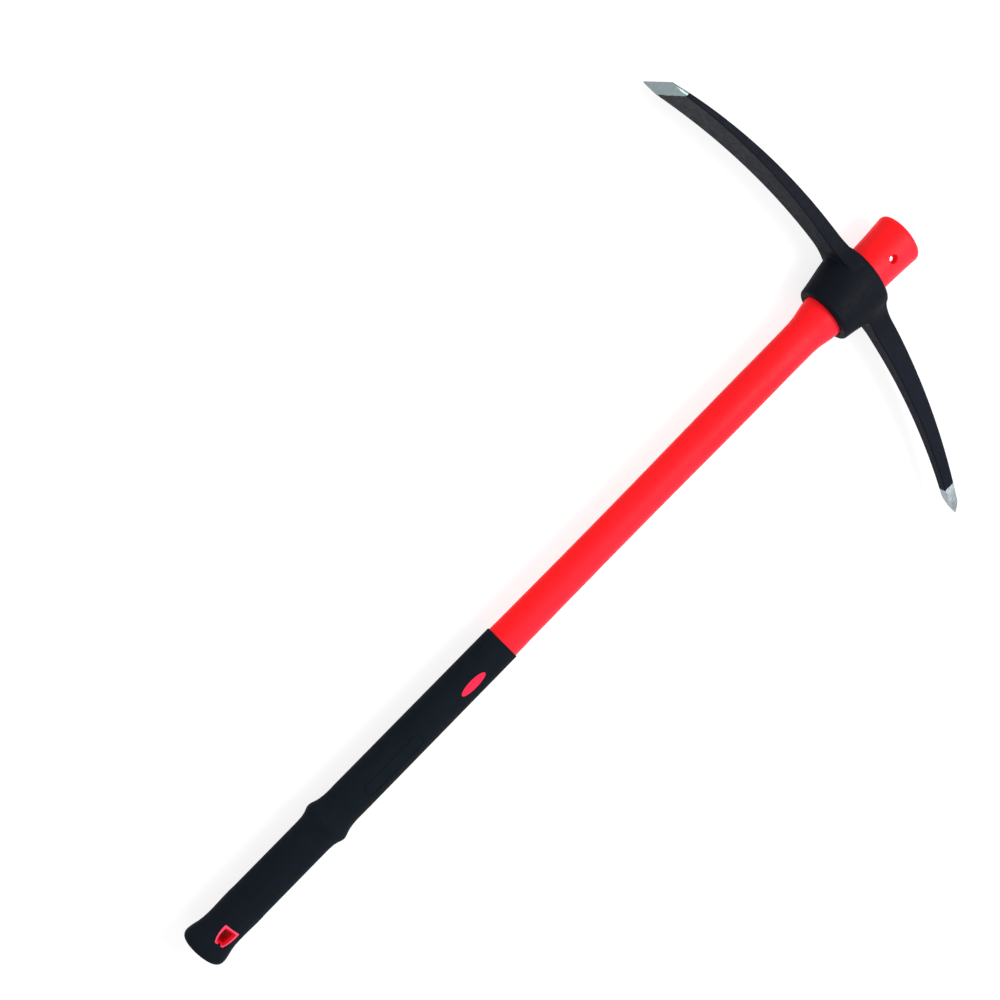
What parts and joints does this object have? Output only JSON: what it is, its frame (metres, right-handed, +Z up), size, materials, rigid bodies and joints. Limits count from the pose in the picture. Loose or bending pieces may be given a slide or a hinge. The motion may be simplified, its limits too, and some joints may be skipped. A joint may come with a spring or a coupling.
{
  "type": "pickaxe",
  "caption": "Long-handled digging pickaxe: forged head with a chisel arm and a point arm, slid onto a moulded fibreglass-cored handle with a rubber grip and hanging hole.",
  "frame": {"origin": "bottom centre of the bounding box of the whole tool lying flat on its side", "axes": "+X along the handle from butt to head end, +Y towards the chisel arm, +Z up, square to the plane of the handle and both arms"},
  "size_m": [0.905, 0.5562, 0.0522],
  "materials": {
    "black_steel": "satin black paint on forged steel, ground bright at the chisel edge and at the tip",
    "red_plastic": "moulded bright red plastic, satin",
    "black_rubber": "moulded black rubber, matt",
    "fibreglass": "pale pultruded glass fibre, hidden",
    "bright_steel": "bright steel"
  },
  "bodies": {
    "handle": {"handle_jacket": "red_plastic", "rubber_grip": "black_rubber", "fibreglass_core": "fibreglass", "head_end_pin": "bright_steel"},
    "head": {"pick_head": "black_steel"}
  },
  "joints": [
    {"name": "head_slide", "type": "slide", "parent": "handle", "child": "head", "axis": [1, 0, 0], "range_m": [-0.87, 0]}
  ]
}
